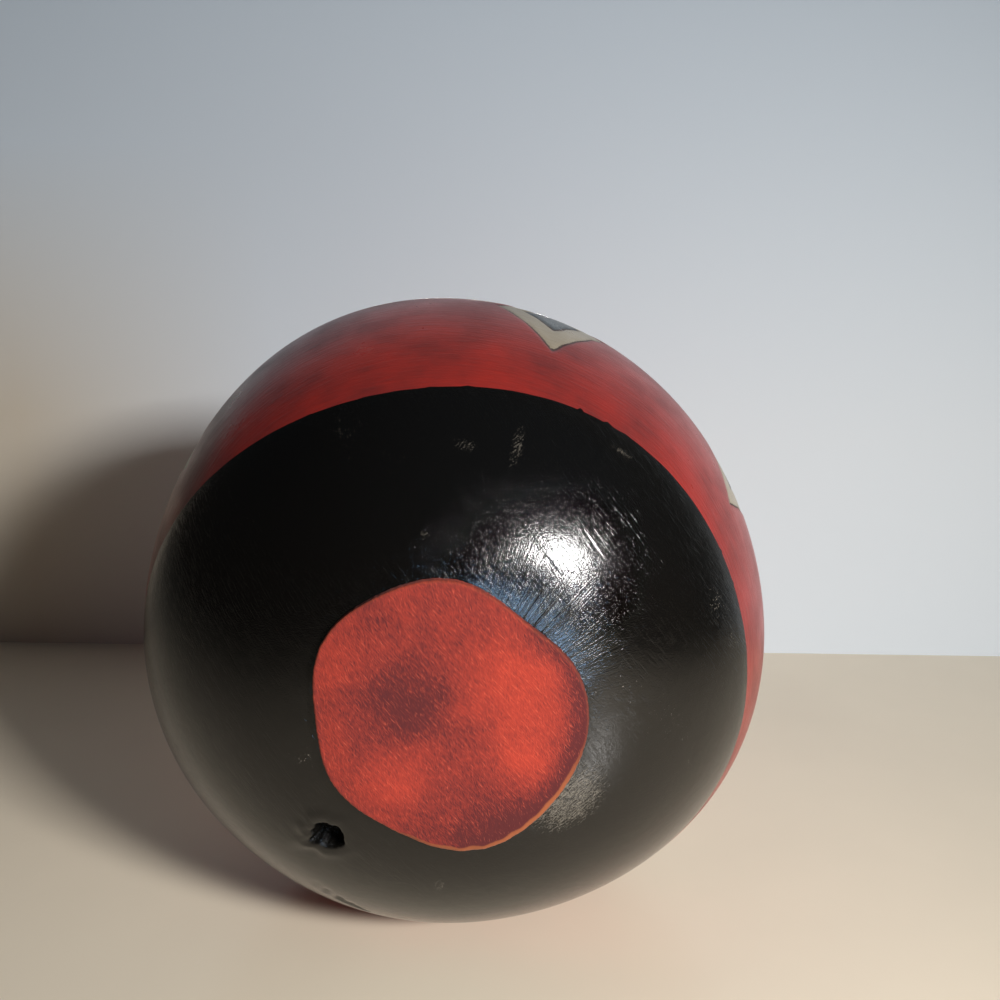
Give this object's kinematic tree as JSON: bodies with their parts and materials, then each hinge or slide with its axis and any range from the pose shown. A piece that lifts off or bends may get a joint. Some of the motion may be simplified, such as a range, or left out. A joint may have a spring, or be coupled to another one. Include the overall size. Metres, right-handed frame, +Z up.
{
  "type": "carved gourd",
  "caption": "Round hard-shell gourd lying on its flank, hollow and uncut, with a dried stem, a lacquered base, a dyed and carved upper body and a suede disc glued on its base.",
  "frame": {"origin": "on the floor, under the middle of the gourd's overall box", "axes": "+Z up, +Y along the gourd's own axis from the base pad to the stem, +X to the right seen from the base"},
  "size_m": [0.2003, 0.2398, 0.1991],
  "materials": {
    "rind": "dried gourd rind, black gloss lacquer on the base, satin red dye above it",
    "stem": "dry ribbed stem, bare",
    "suede": "napped red suede",
    "glue": "dried contact cement",
    "seed": "dry seed coat",
    "pulp": "dry papery pulp"
  },
  "bodies": {
    "root": {"gourd_shell": "rind", "stem": "stem", "base_pad": "suede", "pad_adhesive": "glue", "seeds": "seed", "dried_pulp": "pulp"}
  },
  "joints": []
}
